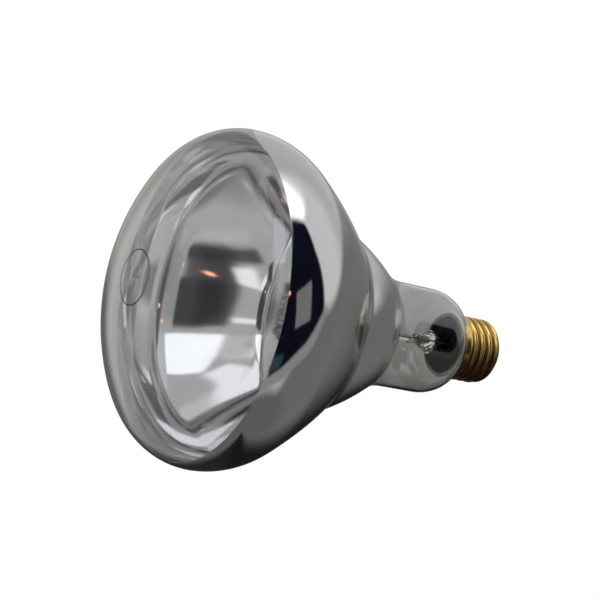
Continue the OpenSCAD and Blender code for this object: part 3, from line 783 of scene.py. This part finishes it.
def studio_light(camera):
    """White paper behind the bulb, and round it the grey studio that its mirror and glass see.

    Directions are in degrees as seen from the bulb: azimuth 0 is towards the camera and grows to the
    camera's right, and elevation grows upwards.
    """
    world = bpy.data.worlds.new("studio")
    scene.world = world
    world.use_nodes = True
    w = Recipe(world.node_tree)
    w.tree.nodes.clear()
    place = w.node("ShaderNodeTexCoord")
    turn = camera.matrix_world.to_3x3()
    across, up, back = (w.out(w.node("ShaderNodeVectorMath", {"operation": "DOT_PRODUCT"},
                                     _0=Flow(w.tree, place.outputs["Generated"]), _1=tuple(turn.col[i])), 1)
                        for i in range(3))
    azimuth = across.math("ARCTAN2", back) * (360 / TURN)
    elevation = up.math("ARCSINE") * (360 / TURN)

    def patch(light, colour, soft, *corners):
        """Lay a colour over a convex patch of directions; its corners run anticlockwise."""
        cover = None
        for (a0, e0), (a1, e1) in zip(corners, corners[1:] + corners[:1]):
            run = math.hypot(a1 - a0, e1 - e0)
            along, rise = (a1 - a0) / run, (e1 - e0) / run
            within = elevation.math("MULTIPLY_ADD", along, azimuth.math("MULTIPLY_ADD", -rise, a0 * rise - e0 * along))
            edge = within.step(-soft, soft)
            cover = edge if cover is None else cover * edge
        return w.mix(cover, light, colour)

    def band(light, colour, soft, left, right, low, high):
        """Lay a colour over a rectangle of directions."""
        cover = azimuth.step(left - soft, left + soft) * azimuth.step(right + soft, right - soft)
        cover = cover * elevation.step(low - soft, low + soft) * elevation.step(high + soft, high - soft)
        return w.mix(cover, light, colour)

    def glow(light, colour, a, e, size):
        """Lay a small round lamp over the directions round one."""
        aside, above = azimuth - a, elevation - e
        return w.mix((aside * aside + above * above).step(size * size, 0), light, colour)

    wall = w.mix(azimuth.step(20, 80), (0.51, 0.52, 0.53), (0.76, 0.76, 0.77))
    wall = w.mix(azimuth.step(112, 135), wall, (0.56, 0.56, 0.56))
    wall = w.mix(azimuth.step(-20, -50) * elevation.step(-30, -5), wall, (0.75, 0.765, 0.75))
    wall = w.mix(azimuth.step(-140, -155), wall, w.mix(elevation.step(1, 9), (0.11, 0.114, 0.106), (0.38, 0.395, 0.365)))
    ground = w.mix(azimuth.step(132, 170) * elevation.step(3, -7), (0.19, 0.19, 0.186), (0.012, 0.012, 0.013))
    horizon = elevation - azimuth.step(95, 142) * 19
    light = w.mix(azimuth.step(40, 70) * horizon.step(-1, -11), wall, ground)
    behind = w.mix(elevation.step(-8, 6), (0.1, 0.1, 0.085), (0.3, 0.3, 0.29))
    light = w.mix(azimuth.step(162, 168) * elevation.step(-12, -7) * elevation.step(17, 11), light, behind)
    light = w.mix(azimuth.step(-163, -169) * elevation.step(-12, -7) * elevation.step(17, 11), light, behind)
    light = w.mix(elevation.step(-50, -62) * azimuth.step(170, 120), light, (0.15, 0.15, 0.145))
    light = w.mix(azimuth.step(-152, -168) * elevation.step(-8, -12), light, (0.02, 0.02, 0.022))
    light = band(light, (0.25, 0.25, 0.26), 6, -92, -57, -2, 30)
    light = band(light, (0.4, 0.4, 0.41), 3, -1, 27, -30, 18)
    light = patch(light, (0.04, 0.04, 0.045), 2.5, (-37, -38), (-11, -27), (2, 24), (-12, 24), (-17, 4))
    light = patch(light, (0.62, 0.63, 0.62), 1.5, (-46, -46), (-12, -34), (-11, -29), (-40, -40))
    light = patch(light, (0.006, 0.007, 0.012), 2, (-39, -36), (-10, -27), (-8, -20), (-36, -27))
    light = patch(light, (0.004, 0.005, 0.008), 2, (-19, -9), (-3, -8), (2, 22), (-13, 22))
    light = patch(light, (1.3, 1.3, 1.28), 1.5, (-30, -23), (-21, -20), (-20, -10), (-27, -8))
    light = band(light, (1.3, 1.3, 1.25), 1.2, -22, -15, 15, 19)
    light = band(light, (0.85, 0.86, 0.88), 3, -36, -16, 39, 47)
    light = band(light, (0.66, 0.7, 0.76), 4, 15, 33, 28, 67)
    light = patch(light, (0.32, 0.32, 0.315), 2.5, (4, -57), (50, -49), (83, -29), (97, -6), (10, 0))
    light = patch(light, (0.004, 0.005, 0.012), 2, (14, -45), (37, -41), (70, -26), (90, -6), (82, 17), (69, 44),
                  (55, 53), (38, 53), (24, 30), (14, -20))
    light = band(light, (0.03, 0.06, 0.08), 2, 14, 33, -41, -31)
    light = patch(light, (0.22, 0.22, 0.23), 1, (42, -16), (69, -12), (65, 11), (36, 7))
    light = patch(light, w.mix(azimuth.step(70, 104), (1.9, 1.9, 1.9), (0.95, 0.95, 0.97)), 4,
                  (36, 57), (70, 47), (107, 55), (112, 84), (36, 84))
    light = band(light, (0.7, 0.7, 0.72), 2, -22, -12, 29, 45)
    light = band(light, (1.6, 1.65, 1.75), 1, -13, 14, 28, 56)
    light = patch(light, (1.3, 1.32, 1.38), 2, (-69, 66), (-20, 50), (-14, 58), (-40, 73), (-66, 77))
    for a, e, size in ((-13, -13, 1.7), (-5, -16, 1.0), (19, 19, 1.6), (24, 8, 1.8)):
        light = glow(light, (3.0, 1.3, 0.8), a, e, size)
    seen = w.out(w.node("ShaderNodeLightPath"), "Is Camera Ray")
    shown = w.mix(seen, light, (1.0, 1.0, 1.0))
    background = w.node("ShaderNodeBackground", Color=shown, Strength=1.0)
    w.tree.links.new(background.outputs[0], w.node("ShaderNodeOutputWorld").inputs["Surface"])


def render_choices():
    scene.view_settings.view_transform = "Standard"
    scene.cycles.max_bounces = 24
    scene.cycles.glossy_bounces = 12
    scene.cycles.transmission_bounces = 20
    scene.cycles.transparent_max_bounces = 12


# ---------------------------------------------------------------- the bulb

studio_light(photo_camera())
studio_floor()
render_choices()

nickel = wire_metal("nickel of the leads", (0.3, 0.28, 0.26), (0.45, 0.43, 0.4), 0.35)
copper = wire_metal("copper of the outer leads", (0.6, 0.3, 0.18), (0.75, 0.42, 0.28), 0.35)
tin = wire_metal("solder", (0.5, 0.5, 0.52), (0.66, 0.66, 0.68), 0.35)
glass_bulb(bulb_glass())
mirror_coating(mirror_film())
glass_stem(stem_glass())
heat_shield(dark_metal())
inner_lead(1, nickel)
inner_lead(-1, nickel)
filament(wire_metal("tungsten", (0.12, 0.12, 0.13), (0.22, 0.22, 0.23), 0.35))
support_wires(wire_metal("support wire", (0.3, 0.3, 0.31), (0.45, 0.45, 0.46), 0.3))
screw_shell(brass())

for node, finish in {
    "outer_lead_centre": copper, "outer_lead_side": copper, "base_cement": cement_paste(),
    "base_insulator": black_glass(),
    "centre_contact": wire_metal("brass of the contact", (0.6, 0.42, 0.16), (0.75, 0.55, 0.25), 0.28),
    "contact_solder": tin, "side_solder": tin,
}.items():
    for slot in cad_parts[node].material_slots:
        slot.material = finish
